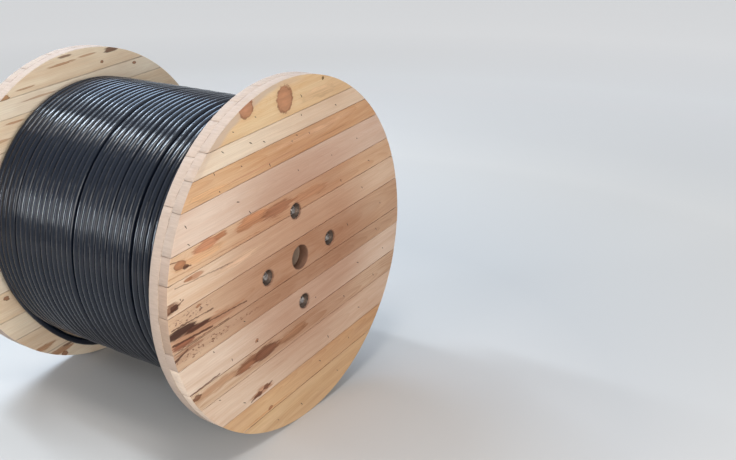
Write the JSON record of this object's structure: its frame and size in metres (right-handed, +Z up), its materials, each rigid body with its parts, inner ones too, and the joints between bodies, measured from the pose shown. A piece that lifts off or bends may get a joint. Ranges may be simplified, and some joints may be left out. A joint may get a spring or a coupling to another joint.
{
  "type": "wooden cable drum",
  "caption": "Wooden cable drum standing on the rims of its flanges, wound full with thick black sheathed cable.",
  "frame": {"origin": "on the floor under the middle of the drum, halfway between the flanges", "axes": "+X along the drum's axis towards the near flange, +Y across the drum, +Z up"},
  "size_m": [1.048, 1.2, 1.2],
  "materials": {
    "pale_board": "rough sawn",
    "inner_board": "rough sawn",
    "barrel_wood": "rough sawn",
    "zinc_steel": "satin",
    "black_sheath": "glossy"
  },
  "bodies": {
    "root": {"barrel_formers": "barrel_wood", "barrel_staves": "barrel_wood", "cable_winding": "black_sheath", "far_inner_board_01": "inner_board", "far_inner_board_02": "inner_board", "far_inner_board_03": "inner_board", "far_inner_board_04": "inner_board", "far_inner_board_05": "inner_board", "far_inner_board_06": "inner_board", "far_inner_board_07": "inner_board", "far_inner_board_08": "inner_board", "far_inner_board_09": "inner_board", "far_inner_board_10": "inner_board", "far_inner_board_11": "inner_board", "far_inner_board_12": "inner_board", "far_outer_board_01": "inner_board", "far_outer_board_02": "inner_board", "far_outer_board_03": "inner_board", "far_outer_board_04": "inner_board", "far_outer_board_05": "inner_board", "far_outer_board_06": "inner_board", "far_outer_board_07": "inner_board", "far_outer_board_08": "inner_board", "far_outer_board_09": "inner_board", "far_outer_board_10": "inner_board", "far_outer_board_11": "inner_board", "far_outer_board_12": "inner_board", "near_inner_board_01": "inner_board", "near_inner_board_02": "inner_board", "near_inner_board_03": "inner_board", "near_inner_board_04": "inner_board", "near_inner_board_05": "inner_board", "near_inner_board_06": "inner_board", "near_inner_board_07": "inner_board", "near_inner_board_08": "inner_board", "near_inner_board_09": "inner_board", "near_inner_board_10": "inner_board", "near_inner_board_11": "inner_board", "near_inner_board_12": "inner_board", "near_outer_board_01": "pale_board", "near_outer_board_02": "pale_board", "near_outer_board_03": "pale_board", "near_outer_board_04": "pale_board", "near_outer_board_05": "pale_board", "near_outer_board_06": "pale_board", "near_outer_board_07": "pale_board", "near_outer_board_08": "pale_board", "near_outer_board_09": "pale_board", "near_outer_board_10": "pale_board", "near_outer_board_11": "pale_board", "near_outer_board_12": "pale_board", "near_outer_board_13": "pale_board", "rod_nuts": "zinc_steel", "through_rods": "zinc_steel"}
  },
  "joints": []
}
